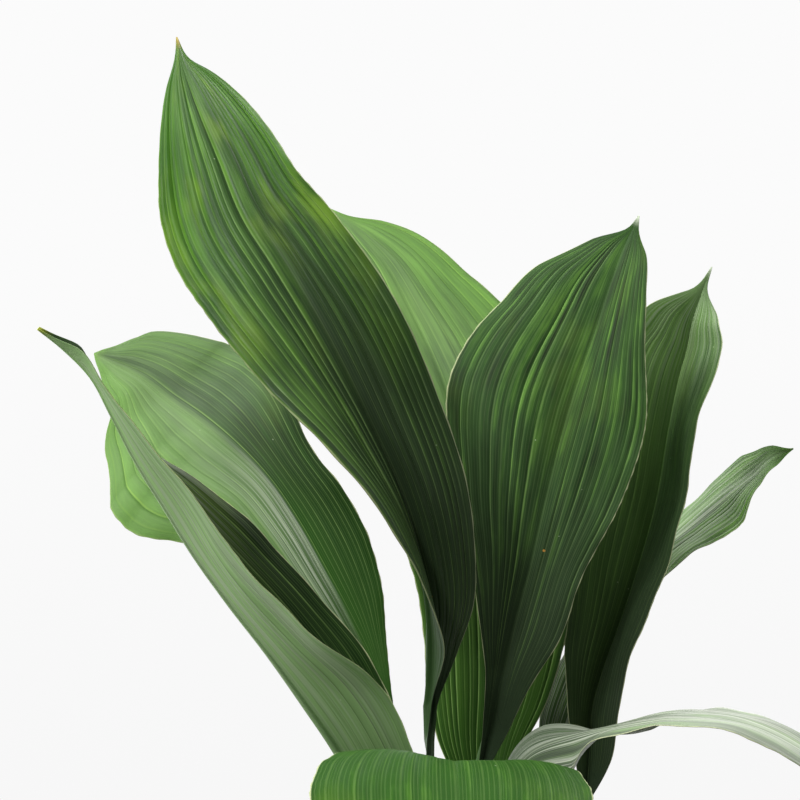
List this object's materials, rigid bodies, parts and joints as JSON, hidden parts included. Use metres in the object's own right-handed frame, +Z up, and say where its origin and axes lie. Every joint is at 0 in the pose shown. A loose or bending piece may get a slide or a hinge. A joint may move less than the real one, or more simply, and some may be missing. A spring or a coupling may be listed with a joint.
{
  "type": "potted cast iron plant",
  "caption": "Potted cast iron plant: long pointed pleated leaves, each on its own thin stem, rise and arch from soil in a plain tapered round pot with a rim.",
  "frame": {"origin": "centre of the pot's flat underside, on the surface that the pot stands on", "axes": "+Z up, -Y towards the front of the plant as the picture shows it, +X to its right"},
  "size_m": [0.4243, 0.5728, 0.6901],
  "materials": {
    "pot": "matte",
    "soil": "matte",
    "leaf": "satin"
  },
  "bodies": {
    "root": {"pot": "pot", "soil": "soil", "leaf_tall": "leaf", "leaf_pleated": "leaf", "leaf_bright": "leaf", "leaf_dark": "leaf", "leaf_striped": "leaf", "leaf_broad": "leaf", "leaf_folded": "leaf", "leaf_arching": "leaf", "leaf_reaching": "leaf", "leaf_back_left": "leaf", "leaf_back_right": "leaf"}
  },
  "joints": []
}
